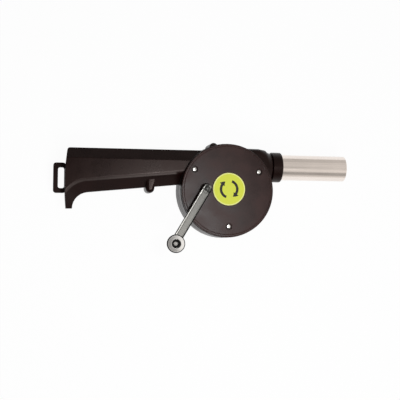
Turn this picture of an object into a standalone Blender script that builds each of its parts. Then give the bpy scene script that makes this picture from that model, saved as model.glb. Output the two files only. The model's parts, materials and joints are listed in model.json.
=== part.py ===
"""A hand-cranked barbecue blower, as the separate pieces that it comes apart into.

It lies on its back: +Z is the fan's axis, from the intake grille to the crank, +X runs along
the nozzle, and +Y is up when it is held by its handle. The origin is on the fan's axis, on the
back face. Lengths are in metres.
"""

from math import acos, atan2, cos, hypot, pi, radians, sin, sqrt, tan

import bmesh
import bpy
from mathutils import Matrix

# Clearances
SEAT_GAP = 0.0003  # between pieces that rest on each other
FIT_GAP = 0.00015  # round a piece that is pressed or screwed into another
RUN_GAP = 0.00010  # round a shaft in its bush

# Drum: the round body, with the fan below a partition and the gears above it
DRUM_RADIUS = 0.0454
DRUM_DRAFT = 0.0005  # how much wider the drum is at its back
DRUM_FILLET = 0.0012
BACK_WALL = 0.0020
SIDE_WALL = 0.0023
SPLIT_HEIGHT = 0.0150  # where the two housings meet
CHAMBER_TOP = 0.0180
PARTITION = 0.0020
GROOVE_HEIGHT = 0.0010
GROOVE_DEPTH = 0.0010

# Gear cover
COVER_THICKNESS = 0.0032
COVER_INSET = 0.0005  # how far the cover's edge stands inside the drum's
COVER_CHAMFER = 0.0010
COVER_LIP = 0.0020
COVER_LIP_WALL = 0.0015
LABEL_THICKNESS = 0.0003
LABEL_PLACE = (0.0012, 0.0012)
LABEL_GAP = 0.0014  # from the label's recess to the crank's bush

# Screws
SCREW_RADIUS = 0.0010
SCREW_HEAD_RADIUS = 0.0021
SCREW_HEAD_HEIGHT = 0.0013
COVER_SCREW_LENGTH = 0.0090
COVER_SCREW_SINK = 0.0020
COVER_RECESS_RADIUS = 0.0033
COVER_BOSS_RADIUS = 0.0028
HOUSING_SCREW_LENGTH = 0.0140
HOUSING_SCREW_BITE = 0.0065  # how far it goes into the front housing
HOUSING_RECESS_RADIUS = 0.0027
HOUSING_BOSS_RADIUS = 0.0040
COVER_SCREW_ANGLES = (31, 149, 272)
COVER_SCREW_INSETS = (0.0097, 0.0072, 0.0107)  # from the drum's edge to each screw

# Handle
HANDLE_REACH = 0.1549  # from the fan's axis to the handle's end
HANDLE_TOP = 0.0388
HANDLE_BOW = 0.0018  # how far the end bulges
HANDLE_BOW_DROP = 0.0050  # from the end's middle to where it bulges most
HANDLE_CORNER = 0.0025
HANDLE_HALF_DEPTH = 0.0130
HANDLE_TOP_HALF_DEPTH = 0.0050
HANDLE_LOWER_HALF_DEPTH = 0.0030
HANDLE_TOP_BEVEL = 0.0103
HANDLE_LOWER_BEVEL = 0.0111
HANDLE_ROLL = 0.0060  # the rounding between the lower bevel and the flat side
HANDLE_SLOPE = radians(5.7)
HOOK_DROP = 0.0192
HOOK_TIP = 0.0055
HOOK_RADIUS = 0.0159
HOOK_SOLID = 0.0060  # the hook is solid below this

# Screw lugs of the housings
LUG_RADIUS = 0.0043
LUG_HALF_DEPTH = 0.0095
HANDLE_LUG_REACH = 0.0286  # from the drum's edge to the lug's middle
HANDLE_LUG_DROP = 0.0015  # from the handle's lower edge to the lug's middle
HANDLE_LUG_RISE = 0.0118
DRUM_LUG_ANGLE = radians(106.7)
DRUM_LUG_REACH = 0.0028  # from the drum's edge to the lug's tip
DRUM_LUG_FLOOR = 0.0003
END_SCREW_INSET = 0.0151  # from the handle's end
END_SCREW_DROP = 0.0173  # from the handle's top
GRIP_SCREW_REACH = 0.0113  # from the drum's edge
GRIP_SCREW_DROP = 0.0153  # from the handle's top
CHAMBER_SCREW_ANGLE = radians(-50)

# Strap loop
LOOP_LENGTH = 0.0107
LOOP_WIDTH = 0.0289
LOOP_BAR = 0.0045
LOOP_THICKNESS = 0.0050
LOOP_MIDDLE = 0.0101
LOOP_CORNER = 0.0025
LOOP_SLOT_CORNER = 0.0018
LOOP_ROOT = 0.0004  # from the handle's end to the slot
LOOP_DROP = 0.0006  # from the split to the loop's front

# Nozzle
TUBE_RADIUS = 0.0125
TUBE_WALL = 0.0009
TUBE_LENGTH = 0.0738
TUBE_SEAT = 0.0086
NOZZLE_MIDDLE = 0.0245
NECK_START = 0.0090
NECK_END = 0.0463
NECK_TOP = 0.0417
NECK_FALL = 0.0010  # from the neck's top to its shoulder's
NECK_LOW = 0.0104
NECK_HALF_DEPTH = 0.0142
NECK_CORNER = 0.0050
NECK_SHOULDER = 0.0071  # length over which the neck turns round
NECK_SHOULDER_CORNER = 0.0090
NECK_RING = 0.0040
NECK_RADIUS = 0.0134
DUCT_START = 0.0067
DUCT_CORNER = 0.0030
DUCT_SHOULDER = 0.0110  # from the neck's end back to where the duct turns round
DUCT_SHOULDER_CORNER = 0.0060
DUCT_CROWN = 0.0082  # from the split to the duct's top, where it turns round
COLLAR_WALL = 0.0021
COLLAR_LENGTH = 0.0100
COLLAR_TAIL = 0.0042
COLLAR_BORE = 0.0102
COLLAR_FLANGE = 0.0012
COLLAR_FLANGE_RADIUS = 0.0126

# Intake grille
GRILLE_SLOTS = 14
GRILLE_INNER = 0.0115
GRILLE_INSET = 0.0050  # from the impeller's edge to the slots' ends
GRILLE_SHORT = 0.0205  # where the short slots between the long ones start
GRILLE_WIDTH = 0.0026

# Gears
MODULES = 56.75  # the drum's radius, in gear modules
WHEEL_TEETH = 38
PINION_TEETH = 11
PRESSURE_ANGLE = radians(20)
WHEEL_TIP = 0.70  # the heights and depths of teeth are in modules
PINION_TIP = 1.0
ROOT_DEPTH = 1.35
BACKLASH = 0.00020
CRANK_INSET = 0.0239  # from the drum's left edge to the crank's axis
CRANK_RISE = 0.0010
GEAR_LIFT = 0.0011  # from the partition to the low gears
LOW_GEAR_THICKNESS = 0.0031
GEAR_STEP = 0.0010  # between the low gears and the high ones
HIGH_GEAR_THICKNESS = 0.0037
GEAR_HEADROOM = 0.0006  # from the high gears to the drum's rim
WEB_DEPTH = 0.0010

# Shafts and bushes
CRANK_SHAFT_RADIUS = 0.0030
CRANK_JOURNAL_RADIUS = 0.0022
CRANK_FLANGE_RADIUS = 0.0044
CRANK_FLAT = 0.0024
CRANK_BUSH_WALL = 0.0012
CRANK_BUSH_FLANGE = 0.0056
CRANK_BUSH_HEIGHT = 0.0012
CRANK_WASHER = 0.0006
FAN_SHAFT_RADIUS = 0.0020
FAN_FLAT = 0.0015
FAN_BUSH_WALL = 0.0010
FAN_BUSH_FLANGE = 0.0044
FAN_BUSH_RIM = 0.0005
FAN_HUB_HEIGHT = 0.0055
FAN_BORE_FLOOR = 0.0012  # the wall that is left under the rear bush
IDLER_AXLE_RADIUS = 0.0015
AXLE_SEAT = 0.0016  # how deep the idler's axle goes into the partition and the cover
BOSS_WALL = 0.0013

# Crank arm and knob
ARM_LENGTH = 0.0607
ARM_WIDTH = 0.0087
ARM_THICKNESS = 0.0030
ARM_CHAMFER = 0.0006
ARM_RIB = 0.0008  # from the arm's edge to its sunk channel
ARM_CHANNEL_SLOPE = 0.0015
ARM_CHANNEL_DEPTH = 0.0005
ARM_PAD = 0.0062  # from the holes' middles to the channel's ends
ARM_HUB_HEIGHT = 0.0023
ARM_ANGLE = radians(-120.5)
ARM_HUB_RADIUS = 0.0042
CRANK_SCREW_HEAD = 0.0026
CRANK_SCREW_BITE = 0.0054
KNOB_RADIUS = 0.00865
KNOB_HEIGHT = 0.0098
KNOB_HEAD = 0.0035
KNOB_EDGE = 0.0012
KNOB_DOME = 0.0011  # how far the face falls from its well to its edge
KNOB_WAIST = 0.0068
KNOB_FOOT = 0.0020
KNOB_FOOT_RADIUS = 0.0077
KNOB_WELL_RADIUS = 0.0043
KNOB_WELL_DEPTH = 0.0042
RIVET_RADIUS = 0.0014
RIVET_HEAD_RADIUS = 0.0020
RIVET_HEAD_HEIGHT = 0.0009
RIVET_FOOT_RADIUS = 0.0026

# Impeller
IMPELLER_CLEARANCE = 0.0074  # from the impeller's edge to the chamber's wall
IMPELLER_EYE = 0.0120
IMPELLER_BLADES = 9
IMPELLER_BASE = 0.0044
IMPELLER_HEADROOM = 0.0020
IMPELLER_DISC = 0.0014
BLADE_THICKNESS = 0.0014
BLADE_SWEEP = radians(38)
IMPELLER_HUB_RADIUS = 0.0048

# Facets
FINE = 56
ROUND = 32
SMALL = 16
SCREW_SIDES = 12

# Colour, roughness and metallic value of each material
MATERIALS = {
    "black_plastic": ((0.020, 0.014, 0.012), 0.45, 0.0),
    "cover_plastic": ((0.050, 0.038, 0.032), 0.50, 0.0),
    "label": ((0.700, 0.740, 0.080), 0.40, 0.0),
    "tube_steel": ((0.700, 0.640, 0.580), 0.25, 1.0),
    "crank_metal": ((0.520, 0.500, 0.460), 0.35, 1.0),
    "screw_steel": ((0.750, 0.740, 0.720), 0.25, 1.0),
    "shaft_steel": ((0.450, 0.450, 0.460), 0.30, 1.0),
    "bronze": ((0.500, 0.300, 0.120), 0.35, 1.0),
    "gear_plastic": ((0.750, 0.730, 0.660), 0.45, 0.0),
    "impeller_plastic": ((0.030, 0.030, 0.032), 0.50, 0.0),
}

MODULE = DRUM_RADIUS / MODULES
TUB_RADIUS = DRUM_RADIUS - SIDE_WALL
TUB_FLOOR = CHAMBER_TOP + PARTITION
LOW_GEAR_FLOOR = TUB_FLOOR + GEAR_LIFT
LOW_GEAR_TOP = LOW_GEAR_FLOOR + LOW_GEAR_THICKNESS
HIGH_GEAR_FLOOR = LOW_GEAR_TOP + GEAR_STEP
HIGH_GEAR_TOP = HIGH_GEAR_FLOOR + HIGH_GEAR_THICKNESS
RIM_HEIGHT = HIGH_GEAR_TOP + GEAR_HEADROOM
COVER_FLOOR = RIM_HEIGHT + SEAT_GAP
COVER_FACE = COVER_FLOOR + COVER_THICKNESS
CRANK_PLACE = (CRANK_INSET - DRUM_RADIUS, CRANK_RISE)
LABEL_REACH = hypot(LABEL_PLACE[0] - CRANK_PLACE[0], LABEL_PLACE[1] - CRANK_PLACE[1])
LABEL_RADIUS = LABEL_REACH - CRANK_BUSH_FLANGE - LABEL_GAP
CRANK_BUSH_TOP = COVER_FACE + SEAT_GAP + CRANK_BUSH_HEIGHT
CRANK_WASHER_TOP = CRANK_BUSH_TOP + SEAT_GAP + CRANK_WASHER
ARM_HEIGHT = CRANK_WASHER_TOP + SEAT_GAP + ARM_HUB_HEIGHT
ARM_TOP = ARM_HEIGHT + ARM_THICKNESS
IMPELLER_RADIUS = TUB_RADIUS - IMPELLER_CLEARANCE
IMPELLER_TOP = CHAMBER_TOP - IMPELLER_HEADROOM
COVER_SCREW_SEAT = COVER_FACE - COVER_SCREW_SINK
HOUSING_SCREW_SEAT = SPLIT_HEIGHT + HOUSING_SCREW_BITE - HOUSING_SCREW_LENGTH
LUG_FLOOR = SPLIT_HEIGHT - LUG_HALF_DEPTH
LUG_TOP = SPLIT_HEIGHT + LUG_HALF_DEPTH
CRANK_BUSH_RADIUS = CRANK_SHAFT_RADIUS + RUN_GAP + CRANK_BUSH_WALL
FAN_BORE_RADIUS = FAN_SHAFT_RADIUS + RUN_GAP + FAN_BUSH_WALL + FIT_GAP


def clear_scene():
    for thing in list(bpy.data.objects):
        bpy.data.objects.remove(thing, do_unlink=True)


def make_materials():
    for name, (colour, roughness, metallic) in MATERIALS.items():
        material = bpy.data.materials.new(name)
        material.use_nodes = True
        shader = material.node_tree.nodes["Principled BSDF"]
        shader.inputs["Base Color"].default_value = (*colour, 1)
        shader.inputs["Roughness"].default_value = roughness
        shader.inputs["Metallic"].default_value = metallic


def axis_empty(name, place, parent=None):
    """An empty on a joint's axis. What turns about that axis is parented to it."""
    empty = bpy.data.objects.new(name, None)
    empty.location = (*place, 0)
    empty.parent = parent
    bpy.context.scene.collection.objects.link(empty)
    return empty


def finish(bm, name, material, parent=None):
    """Makes the bmesh an object with its faces pointing out and its curved sides smooth."""
    bmesh.ops.remove_doubles(bm, verts=bm.verts, dist=1e-6)
    bmesh.ops.recalc_face_normals(bm, faces=bm.faces)
    mesh = bpy.data.meshes.new(name)
    bm.to_mesh(mesh)
    bm.free()
    mesh.materials.append(bpy.data.materials[material])
    mesh.shade_smooth()
    mesh.set_sharp_from_angle(angle=radians(30))
    piece = bpy.data.objects.new(name, mesh)
    piece.parent = parent
    bpy.context.scene.collection.objects.link(piece)
    return piece


def tool(bm, name, parent=None):
    """A shape that only cuts or joins, so it is left out of the render."""
    helper = finish(bm, name, "black_plastic", parent)
    helper.hide_render = True
    helper.display_type = "WIRE"
    return helper


def change(piece, helper, operation):
    modifier = piece.modifiers.new(helper.name, "BOOLEAN")
    modifier.operation = operation
    modifier.solver = "EXACT"
    modifier.object = helper


def cut(piece, bm, name):
    change(piece, tool(bm, name, piece), "DIFFERENCE")


def join(piece, bm, name):
    change(piece, tool(bm, name, piece), "UNION")


def keep_inside(piece, bm, name):
    change(piece, tool(bm, name, piece), "INTERSECT")


def settled_mesh(piece):
    """The piece's mesh with its modifiers applied."""
    bpy.context.view_layer.update()
    graph = bpy.context.evaluated_depsgraph_get()
    return bpy.data.meshes.new_from_object(piece.evaluated_get(graph))


def arc(middle, radius, start, end, steps):
    """Points on an arc, from the angle start to the angle end."""
    angles = [start + (end - start) * step / steps for step in range(steps + 1)]
    return [(middle[0] + radius * cos(a), middle[1] + radius * sin(a)) for a in angles]


def on_circle(radius, angle, middle=(0, 0)):
    return (middle[0] + radius * cos(angle), middle[1] + radius * sin(angle))


def block(bm, low, high):
    size = [high[axis] - low[axis] for axis in range(3)]
    middle = [(high[axis] + low[axis]) / 2 for axis in range(3)]
    bmesh.ops.create_cube(bm, size=1, matrix=Matrix.LocRotScale(middle, None, size))


def prism(bm, outline, low, high):
    """An outline in X and Y, standing from the height low to the height high."""
    face = bm.faces.new([bm.verts.new((x, y, low)) for x, y in outline])
    grown = bmesh.ops.extrude_face_region(bm, geom=[face])["geom"]
    top = [v for v in grown if isinstance(v, bmesh.types.BMVert)]
    bmesh.ops.translate(bm, verts=top, vec=(0, 0, high - low))


def rod(bm, place, radius, low, high, steps=SMALL):
    prism(bm, arc(place, radius, 0, 2 * pi * (1 - 1 / steps), steps - 1), low, high)


def turning(bm, profile, steps, place=(0, 0)):
    """A turned form about a Z axis, from a closed profile of (radius, height) points."""
    verts = [bm.verts.new((place[0] + r, place[1], z)) for r, z in profile]
    edges = [bm.edges.new((verts[i - 1], verts[i])) for i in range(len(verts))]
    on_axis = [e for e in edges if all(abs(v.co.x - place[0]) < 1e-9 for v in e.verts)]
    bmesh.ops.delete(bm, geom=on_axis, context="EDGES")
    edges = [e for e in edges if e.is_valid]
    bmesh.ops.spin(bm, geom=verts + edges, cent=(*place, 0), axis=(0, 0, 1), angle=2 * pi,
                   steps=steps, use_merge=True)


def loft(bm, rings):
    """A closed skin over rings of points, with a face across the first and the last."""
    rows = [[bm.verts.new(point) for point in ring] for ring in rings]
    for one, two in zip(rows, rows[1:]):
        for i in range(len(one)):
            bm.faces.new((one[i - 1], one[i], two[i], two[i - 1]))
    bm.faces.new(rows[0])
    bm.faces.new(rows[-1])


def rounded_box(low, high, radius, steps=3):
    """A rectangle from low to high with round corners, as points in its own plane."""
    corners = ((high[0], high[1], 0), (low[0], high[1], 90), (low[0], low[1], 180),
               (high[0], low[1], 270))
    points = []
    for x, y, turn in corners:
        away = (x - radius if x == high[0] else x + radius,
                y - radius if y == high[1] else y + radius)
        points += arc(away, radius, radians(turn), radians(turn + 90), steps)
    return points


def screw(name, place, seat, length, down):
    """A pan-head screw whose head sits on the height seat. It points along Z: down is -1 or 1."""
    lift = seat - down * SEAT_GAP
    crown = lift - down * SCREW_HEAD_HEIGHT
    head = [(0, crown), (0.6 * SCREW_HEAD_RADIUS, crown), (SCREW_HEAD_RADIUS, (lift + crown) / 2),
            (SCREW_HEAD_RADIUS, lift)]
    shank = [(SCREW_RADIUS, lift), (SCREW_RADIUS, lift + down * (length - SCREW_RADIUS)),
             (0, lift + down * length)]
    bm = bmesh.new()
    turning(bm, head + shank, SCREW_SIDES, place)
    finish(bm, name, "screw_steel")


def hook_middle():
    return (HANDLE_BOW - HANDLE_REACH + HOOK_TIP + HOOK_RADIUS, -HOOK_DROP)


def handle_lower_point(x, inset=0):
    """The point of the handle's straight lower edge at x, with the edge moved in by inset."""
    start = on_circle(HOOK_RADIUS + inset, pi / 2 + HANDLE_SLOPE, hook_middle())
    return (x, start[1] + (x - start[0]) * tan(HANDLE_SLOPE))


def handle_lower_path(inset):
    """The handle's lower edge, from inside the drum to the hook's tip, moved in by inset."""
    curve = arc(hook_middle(), HOOK_RADIUS + inset, pi / 2 + HANDLE_SLOPE, pi, 7)
    return [handle_lower_point(-DRUM_RADIUS / 3, inset)] + curve


def handle_outline(inset):
    """The handle seen from the front, moved in by inset. Its right end is inside the drum."""
    lower = handle_lower_path(inset)
    floor = -HOOK_DROP
    if inset:
        floor = -HOOK_SOLID
        lower = [point for point in lower if point[1] > floor]
    half = (HANDLE_TOP + HOOK_DROP) / 2
    middle = HANDLE_TOP - half - HANDLE_BOW_DROP
    bow_radius = (half * half + HANDLE_BOW * HANDLE_BOW) / (2 * HANDLE_BOW)
    corner = HANDLE_CORNER
    top = HANDLE_TOP - inset
    heights = [floor + (top - corner - floor) * step / 5 for step in range(6)]
    end = [(inset - HANDLE_REACH + bow_radius - sqrt(bow_radius ** 2 - (y - middle) ** 2), y)
           for y in heights]
    rounding = arc((end[-1][0] + corner, end[-1][1]), corner, pi, pi / 2, 4)[1:]
    return lower + end + rounding + [(lower[0][0], top)]


def handle_lower_bevel(bm, inset, side):
    """What the rounded lower bevel takes off one side of the handle, swept along its edge."""
    half = HANDLE_HALF_DEPTH - inset
    edge = HANDLE_LOWER_HALF_DEPTH - inset / 2
    lean = atan2(half - edge, HANDLE_LOWER_BEVEL)
    inner = HANDLE_LOWER_BEVEL + HANDLE_ROLL * tan(lean / 2)
    roll = arc((inner, half - HANDLE_ROLL), HANDLE_ROLL, pi / 2 + lean, pi / 2, 3)
    spare = HANDLE_LOWER_BEVEL / 4
    section = [(-spare, edge), (0, edge)] + roll + [(inner, half + spare), (-spare, half + spare)]
    paths = []
    for across, depth in section:
        path = handle_lower_path(inset + across)
        path.append((path[-1][0], path[-1][1] - spare))
        paths.append([(x, y, SPLIT_HEIGHT + side * depth) for x, y in path])
    loft(bm, [[path[i] for path in paths] for i in range(len(paths[0]))])


def handle_top_bevel(bm, inset, side):
    """What the flat bevel along the handle's top takes off one side."""
    half = HANDLE_HALF_DEPTH - inset
    edge = HANDLE_TOP_HALF_DEPTH - inset / 2
    top = HANDLE_TOP - inset
    spare = HANDLE_TOP_BEVEL / 4
    fall = (half - edge) / HANDLE_TOP_BEVEL
    section = [(top - HANDLE_TOP_BEVEL, half), (top + spare, edge - spare * fall),
               (top + spare, half + spare), (top - HANDLE_TOP_BEVEL, half + spare)]
    ends = (-HANDLE_REACH - spare, spare)
    loft(bm, [[(x, y, SPLIT_HEIGHT + side * depth) for y, depth in section] for x in ends])


def handle_form(name, inset):
    bm = bmesh.new()
    half = HANDLE_HALF_DEPTH - inset
    prism(bm, handle_outline(inset), SPLIT_HEIGHT - half, SPLIT_HEIGHT + half)
    handle = tool(bm, name)
    for side in (1, -1):
        for label, bevel in (("lower", handle_lower_bevel), ("top", handle_top_bevel)):
            bm = bmesh.new()
            bevel(bm, inset, side)
            cut(handle, bm, f"{name}_{label}_bevel_{'front' if side > 0 else 'back'}")
    return handle


def neck_section(x, low, high, radius):
    """A rounded section across the neck, from the (Y, Z) corner low to the corner high."""
    return [(x, y, z) for y, z in rounded_box(low, high, radius, 5)]


def neck_round(x, radius):
    return neck_section(x, (NOZZLE_MIDDLE - radius, SPLIT_HEIGHT - radius),
                        (NOZZLE_MIDDLE + radius, SPLIT_HEIGHT + radius), radius * 0.9999)


def neck_outside():
    collar = TUBE_RADIUS + FIT_GAP + COLLAR_WALL
    low, high = SPLIT_HEIGHT - NECK_HALF_DEPTH, SPLIT_HEIGHT + NECK_HALF_DEPTH
    bm = bmesh.new()
    loft(bm, [neck_section(NECK_START, (NECK_LOW, low), (NECK_TOP, high), NECK_CORNER),
              neck_section(NECK_END - 2 * NECK_SHOULDER, (NECK_LOW, low),
                           (NECK_TOP - NECK_FALL / 4, high), NECK_CORNER),
              neck_section(NECK_END - NECK_SHOULDER, (NECK_LOW, low),
                           (NECK_TOP - NECK_FALL, high), NECK_SHOULDER_CORNER),
              neck_round(NECK_END - NECK_RING, collar),
              neck_round(NECK_END, NECK_RADIUS)])
    return bm


def neck_duct():
    """The air's way from the fan chamber to the nozzle."""
    tail = COLLAR_FLANGE_RADIUS + SEAT_GAP - COLLAR_FLANGE
    low, high = NECK_LOW + SIDE_WALL, NECK_TOP - SIDE_WALL
    bm = bmesh.new()
    loft(bm, [neck_section(DUCT_START, (low, BACK_WALL), (high, CHAMBER_TOP), DUCT_CORNER),
              neck_section(NECK_END - 2 * NECK_SHOULDER, (low, BACK_WALL + NECK_FALL),
                           (high, CHAMBER_TOP), DUCT_CORNER),
              neck_section(NECK_END - DUCT_SHOULDER, (low, BACK_WALL + NECK_FALL),
                           (high - NECK_FALL, SPLIT_HEIGHT + DUCT_CROWN), DUCT_SHOULDER_CORNER),
              neck_round(NECK_END - COLLAR_TAIL, tail),
              neck_round(NECK_END + SIDE_WALL, tail)])
    return bm


def drum_profile():
    """Half of the drum's section, from the front rim's middle round the outside to the back."""
    back = DRUM_RADIUS + DRUM_DRAFT
    fillet = [(back - DRUM_FILLET + x, DRUM_FILLET + y)
              for x, y in arc((0, 0), DRUM_FILLET, 0, -pi / 2, 2)]
    return [(0, RIM_HEIGHT), (DRUM_RADIUS - GROOVE_DEPTH, RIM_HEIGHT),
            (DRUM_RADIUS - GROOVE_DEPTH, RIM_HEIGHT - GROOVE_HEIGHT),
            (DRUM_RADIUS, RIM_HEIGHT - GROOVE_HEIGHT)] + fillet + [(0, 0)]


def drum_lug_place():
    return on_circle(DRUM_RADIUS + DRUM_LUG_REACH - LUG_RADIUS, DRUM_LUG_ANGLE)


def chamber_boss_place():
    return on_circle(TUB_RADIUS - HOUSING_BOSS_RADIUS / 2, CHAMBER_SCREW_ANGLE)


def handle_lug_place():
    x, y = handle_lower_point(-DRUM_RADIUS - HANDLE_LUG_REACH)
    return (x, y - HANDLE_LUG_DROP)


def handle_boss_places():
    return [(-DRUM_RADIUS - GRIP_SCREW_REACH, HANDLE_TOP - GRIP_SCREW_DROP),
            (END_SCREW_INSET - HANDLE_REACH, HANDLE_TOP - END_SCREW_DROP)]


def housing_screw_places():
    """Where each housing screw stands, and the height of the face that its recess opens in."""
    handle_floor = SPLIT_HEIGHT - HANDLE_HALF_DEPTH
    grip, end = handle_boss_places()
    return [(drum_lug_place(), 0), (chamber_boss_place(), 0), (grip, handle_floor),
            (handle_lug_place(), LUG_FLOOR), (end, handle_floor)]


def cover_screw_places():
    return [on_circle(DRUM_RADIUS - inset, radians(angle))
            for angle, inset in zip(COVER_SCREW_ANGLES, COVER_SCREW_INSETS)]


def idler_place():
    """Where the idler stands: at the gears' centre distance from both the crank and the fan."""
    span = MODULE * (WHEEL_TEETH + PINION_TEETH) / 2
    reach = hypot(*CRANK_PLACE)
    swing = acos(reach / 2 / span)
    return on_circle(span, atan2(CRANK_PLACE[1], CRANK_PLACE[0]) + swing)


def housing_whole():
    """Both housings as one form, which the split height then divides."""
    bm = bmesh.new()
    turning(bm, drum_profile(), FINE)
    whole = tool(bm, "housing_whole")
    change(whole, handle_form("handle_outside", 0), "UNION")
    join(whole, neck_outside(), "neck_outside")
    bm = bmesh.new()
    x, y = handle_lug_place()
    prism(bm, arc((x, y), LUG_RADIUS, -pi, 0, 8)
          + [(x + LUG_RADIUS, y + HANDLE_LUG_RISE), (x - LUG_RADIUS, y + HANDLE_LUG_RISE)],
          LUG_FLOOR, LUG_TOP)
    join(whole, bm, "handle_lug")
    cut_hollows(whole)
    add_bosses(whole)
    cut_screw_holes(whole)
    return settled_mesh(whole)


def cut_hollows(whole):
    drum = bmesh.new()
    rod(drum, (0, 0), DRUM_RADIUS, -RIM_HEIGHT, 2 * RIM_HEIGHT, FINE)
    hollow = handle_form("handle_inside", SIDE_WALL)
    cut(hollow, drum, "handle_inside_end")
    change(whole, hollow, "DIFFERENCE")
    bm = bmesh.new()
    rod(bm, (0, 0), TUB_RADIUS, BACK_WALL, CHAMBER_TOP, FINE)
    cut(whole, bm, "fan_chamber")
    cut(whole, neck_duct(), "neck_duct")
    bm = bmesh.new()
    rod(bm, (0, 0), DRUM_RADIUS - GROOVE_DEPTH / 2, CHAMBER_TOP, RIM_HEIGHT - GROOVE_HEIGHT, FINE)
    join(whole, bm, "gear_tub")
    bm = bmesh.new()
    rod(bm, (0, 0), TUB_RADIUS, TUB_FLOOR, 2 * RIM_HEIGHT, FINE)
    cut(whole, bm, "gear_tub_inside")
    bm = bmesh.new()
    near = NECK_END - COLLAR_TAIL
    far = near + COLLAR_FLANGE + 2 * SEAT_GAP
    radius = COLLAR_FLANGE_RADIUS + FIT_GAP
    turning_x(bm, [(0, near), (radius, near), (radius, far), (0, far)], ROUND)
    cut(whole, bm, "collar_groove")


def turning_x(bm, profile, steps):
    """A turned form about the nozzle's axis, from a closed profile of (radius, X) points."""
    turning(bm, profile, steps)
    turn = Matrix.Rotation(pi / 2, 4, "Y")
    shift = Matrix.Translation((0, NOZZLE_MIDDLE, SPLIT_HEIGHT))
    bmesh.ops.transform(bm, matrix=shift @ turn, verts=bm.verts)


def add_bosses(whole):
    bm = bmesh.new()
    rod(bm, drum_lug_place(), LUG_RADIUS, DRUM_LUG_FLOOR, LUG_TOP)
    rod(bm, chamber_boss_place(), HOUSING_BOSS_RADIUS, BACK_WALL / 2, LUG_TOP)
    reach = HANDLE_HALF_DEPTH - SIDE_WALL / 2
    for place in handle_boss_places():
        rod(bm, place, HOUSING_BOSS_RADIUS, SPLIT_HEIGHT - reach, SPLIT_HEIGHT + reach)
    join(whole, bm, "screw_bosses")


def cut_screw_holes(whole):
    bm = bmesh.new()
    seat = HOUSING_SCREW_SEAT
    end = seat + HOUSING_SCREW_LENGTH + SEAT_GAP
    shank = SCREW_RADIUS + FIT_GAP
    for place, floor in housing_screw_places():
        mouth = floor - SEAT_GAP
        turning(bm, [(0, end), (shank, end), (shank, seat), (HOUSING_RECESS_RADIUS, seat),
                     (HOUSING_RECESS_RADIUS, mouth), (0, mouth)], SCREW_SIDES, place)
    cut(whole, bm, "housing_screw_holes")


def strap_loop(bm):
    """The loop at the handle's end. Its slot is cut afterwards."""
    left = -HANDLE_REACH - LOOP_LENGTH
    outline = rounded_box((left, LOOP_MIDDLE - LOOP_WIDTH / 2),
                          (SIDE_WALL / 2 - HANDLE_REACH, LOOP_MIDDLE + LOOP_WIDTH / 2),
                          LOOP_CORNER)
    top = SPLIT_HEIGHT - LOOP_DROP
    prism(bm, outline, top - LOOP_THICKNESS, top)


def strap_slot(bm):
    left = -HANDLE_REACH - LOOP_LENGTH + LOOP_BAR
    half = LOOP_WIDTH / 2 - LOOP_BAR
    outline = rounded_box((left, LOOP_MIDDLE - half),
                          (-HANDLE_REACH - LOOP_ROOT, LOOP_MIDDLE + half), LOOP_SLOT_CORNER)
    prism(bm, outline, SPLIT_HEIGHT - 2 * LOOP_THICKNESS, SPLIT_HEIGHT + LOOP_THICKNESS)


def slot_outline(angle, start, end, width):
    """A radial slot with blunt round ends."""
    points = [(end, -width / 2), (end + width / 3, 0), (end, width / 2),
              (start, width / 2), (start - width / 3, 0), (start, -width / 2)]
    return [(x * cos(angle) - y * sin(angle), x * sin(angle) + y * cos(angle)) for x, y in points]


def grille_cutter():
    bm = bmesh.new()
    for number in range(GRILLE_SLOTS):
        angle = 2 * pi * number / GRILLE_SLOTS
        between = angle + pi / GRILLE_SLOTS
        for turn, start in ((angle, GRILLE_INNER), (between, GRILLE_SHORT)):
            outline = slot_outline(turn, start, IMPELLER_RADIUS - GRILLE_INSET, GRILLE_WIDTH)
            prism(bm, outline, -BACK_WALL, 2 * BACK_WALL)
    return bm


def make_rear_housing(whole):
    rear = bpy.data.objects.new("rear_housing", whole.copy())
    bpy.context.scene.collection.objects.link(rear)
    bm = bmesh.new()
    block(bm, (-1, -1, -1), (1, 1, SPLIT_HEIGHT - SEAT_GAP / 2))
    keep_inside(rear, bm, "rear_half")
    bm = bmesh.new()
    strap_loop(bm)
    join(rear, bm, "strap_loop")
    bm = bmesh.new()
    strap_slot(bm)
    cut(rear, bm, "strap_slot")
    bm = bmesh.new()
    rod(bm, (0, 0), FAN_BUSH_FLANGE + BOSS_WALL, BACK_WALL / 2, FAN_HUB_HEIGHT)
    join(rear, bm, "fan_hub")
    bm = bmesh.new()
    rod(bm, (0, 0), FAN_BORE_RADIUS, FAN_BORE_FLOOR, 2 * FAN_HUB_HEIGHT)
    cut(rear, bm, "fan_hub_bore")
    cut(rear, grille_cutter(), "intake_grille")


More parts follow.
